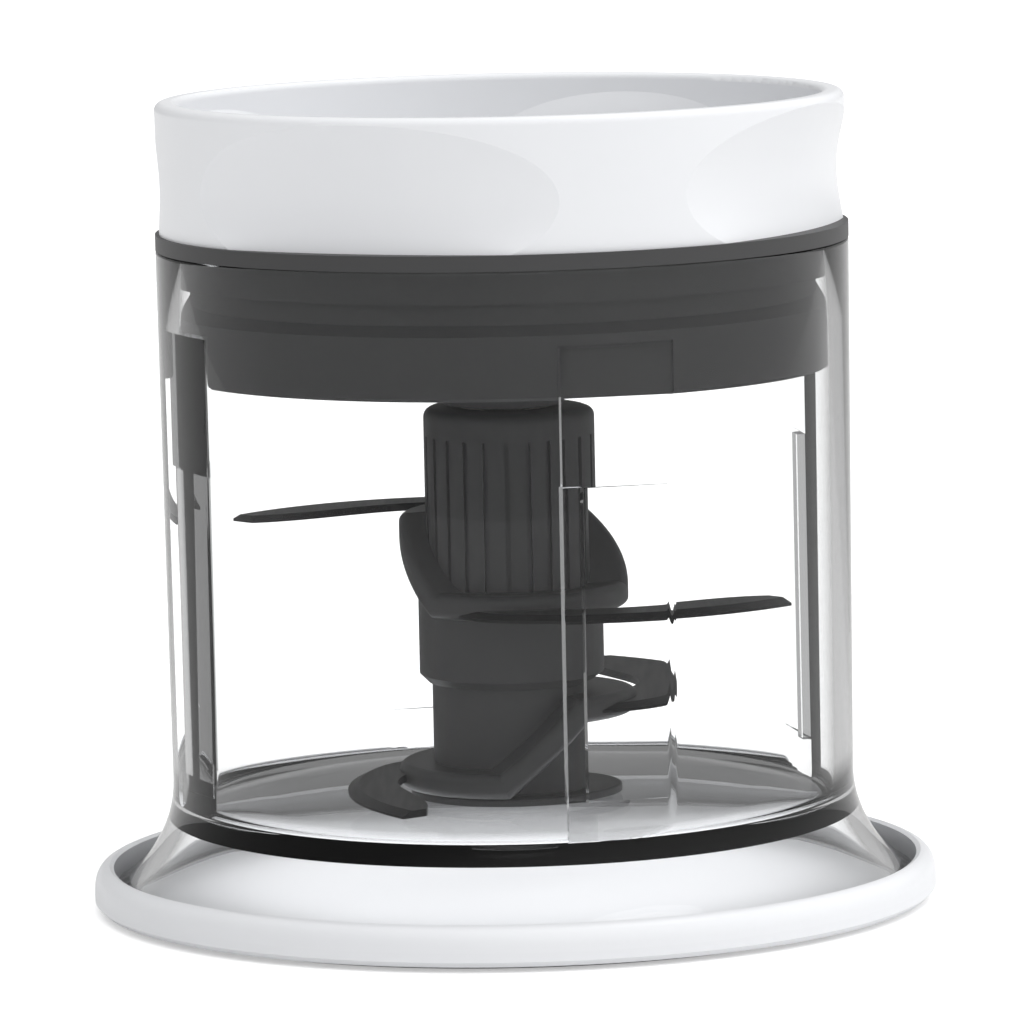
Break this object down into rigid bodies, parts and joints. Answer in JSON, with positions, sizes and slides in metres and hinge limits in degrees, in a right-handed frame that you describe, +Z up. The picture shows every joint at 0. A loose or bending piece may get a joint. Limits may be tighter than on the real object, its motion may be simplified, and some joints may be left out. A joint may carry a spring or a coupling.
{
  "type": "food processor chopper bowl",
  "caption": "Clear chopper bowl with a two-level S-blade, a geared white lid with a motor socket, and a white base plate.",
  "frame": {"origin": "centre of the underside, on the surface that the base plate stands on", "axes": "+Z up along the blade's axis, -Y to the front, +X to the right"},
  "size_m": [0.1568, 0.1568, 0.1501],
  "materials": {
    "white_plastic": "cool white, satin gloss",
    "clear_plastic": "clear moulded plastic",
    "grip_rubber": "light grey soft rubber, matt",
    "seal_rubber": "black, matt",
    "dark_plastic": "dark grey, fine grain",
    "hub_plastic": "near-black grey, satin",
    "socket_plastic": "dark grey, satin",
    "bearing_plastic": "natural acetal",
    "gear_plastic": "natural nylon",
    "blade_steel": "ground stainless steel",
    "pin_steel": "turned stainless steel",
    "screw_steel": "zinc-plated steel",
    "bronze": "sintered bronze"
  },
  "bodies": {
    "base": {"base_plate": "white_plastic", "base_grip_ring": "grip_rubber", "seat_ring": "grip_rubber"},
    "bowl": {"bowl": "clear_plastic", "blade_pin": "pin_steel", "pin_washer": "pin_steel"},
    "lid": {"lid_insert": "dark_plastic", "rim_gasket": "seal_rubber", "lid_housing": "white_plastic", "socket_collar": "socket_plastic", "gearbox_cover": "dark_plastic", "ring_gear": "gear_plastic", "input_bush": "bronze", "output_bush": "bronze", "shaft_seal": "seal_rubber", "thrust_washer": "pin_steel", "gearbox_screws": "screw_steel", "housing_screws": "screw_steel", "collar_screws": "screw_steel"},
    "blade_unit": {"hub_grip": "hub_plastic", "hub_sleeve": "hub_plastic", "hub_foot": "hub_plastic", "hub_liner": "bearing_plastic", "drive_insert": "bearing_plastic", "lower_blade": "blade_steel", "upper_blade": "blade_steel", "lower_collar": "hub_plastic", "upper_collar": "hub_plastic"},
    "carrier": {"carrier_lower_plate": "gear_plastic", "carrier_upper_plate": "gear_plastic", "planet_pins": "pin_steel", "output_shaft": "pin_steel"},
    "planet_1": {"planet_gear_1": "gear_plastic"},
    "planet_2": {"planet_gear_2": "gear_plastic"},
    "planet_3": {"planet_gear_3": "gear_plastic"},
    "input": {"drive_coupler": "socket_plastic", "input_shaft": "pin_steel", "sun_gear": "pin_steel"}
  },
  "joints": [
    {"name": "bowl_lift", "type": "slide", "parent": "base", "child": "bowl", "axis": [0, 0, 1], "range_m": [0, 0.05]},
    {"name": "lid_lift", "type": "slide", "parent": "bowl", "child": "lid", "axis": [0, 0, 1], "range_m": [0, 0.08]},
    {"name": "blade_spin", "type": "hinge", "parent": "bowl", "child": "blade_unit", "pos_m": [0, 0, 0.05], "axis": [0, 0, -1], "continuous": true},
    {"name": "carrier_spin", "type": "hinge", "parent": "lid", "child": "carrier", "pos_m": [0, 0, 0.105], "axis": [0, 0, -1], "continuous": true},
    {"name": "input_spin", "type": "hinge", "parent": "lid", "child": "input", "pos_m": [0, 0, 0.12], "axis": [0, 0, -1], "continuous": true},
    {"name": "planet_1_spin", "type": "hinge", "parent": "carrier", "child": "planet_1", "pos_m": [0, -0.01875, 0.11], "axis": [0, 0, -1], "continuous": true},
    {"name": "planet_2_spin", "type": "hinge", "parent": "carrier", "child": "planet_2", "pos_m": [0.01624, 0.00937, 0.11], "axis": [0, 0, -1], "continuous": true},
    {"name": "planet_3_spin", "type": "hinge", "parent": "carrier", "child": "planet_3", "pos_m": [-0.01624, 0.00937, 0.11], "axis": [0, 0, -1], "continuous": true}
  ],
  "couplings": [
    {"joint": "carrier_spin", "follows": "blade_spin", "ratio": 1},
    {"joint": "input_spin", "follows": "blade_spin", "ratio": 5},
    {"joint": "planet_1_spin", "follows": "blade_spin", "ratio": -2.6667},
    {"joint": "planet_2_spin", "follows": "blade_spin", "ratio": -2.6667},
    {"joint": "planet_3_spin", "follows": "blade_spin", "ratio": -2.6667}
  ]
}
